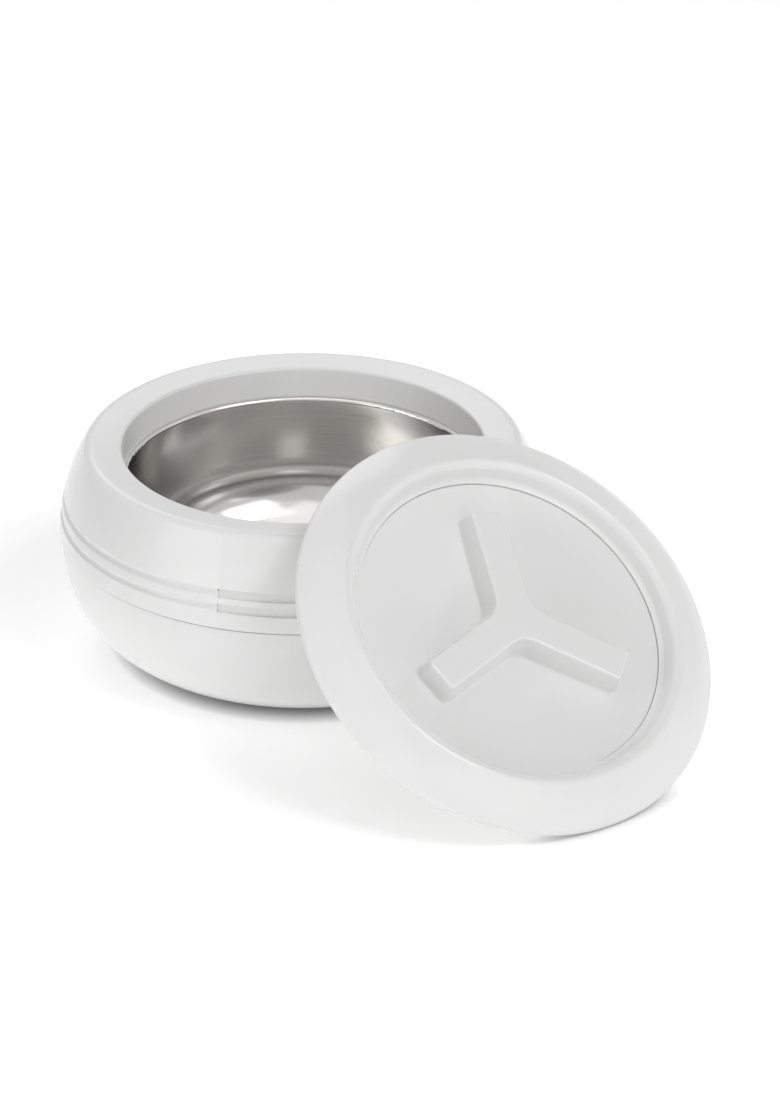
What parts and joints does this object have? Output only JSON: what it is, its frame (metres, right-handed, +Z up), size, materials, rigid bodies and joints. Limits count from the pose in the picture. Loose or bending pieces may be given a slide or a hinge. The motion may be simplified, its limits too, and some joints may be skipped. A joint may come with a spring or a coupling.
{
  "type": "insulated casserole",
  "caption": "Round foam-insulated serving pot with a steel inner bowl; its loose insulated lid, with a moulded grip in a dished top, leans against the pot's rim.",
  "frame": {"origin": "centre of the pot's base, on the surface that the pot and the leaning lid stand on", "axes": "+X from the pot towards the side where the lid leans, +Z up"},
  "size_m": [0.3707, 0.2414, 0.1375],
  "materials": {
    "body_plastic": "gloss",
    "liner_plastic": "satin",
    "bowl_steel": "polished",
    "seal_silicone": "satin",
    "foam": "matte",
    "plug_plastic": "satin"
  },
  "bodies": {
    "pot": {"lower_shell": "body_plastic", "collar": "body_plastic", "steel_bowl": "bowl_steel", "bowl_seal": "seal_silicone", "pot_foam": "foam", "base_plug": "plug_plastic"},
    "lid": {"lid_cover": "body_plastic", "lid_liner": "liner_plastic", "lid_foam": "foam", "lid_plug": "plug_plastic"}
  },
  "joints": [
    {"name": "lid_lift", "type": "slide", "parent": "pot", "child": "lid", "axis": [0, 0, 1], "range_m": [0, 0.15]}
  ]
}
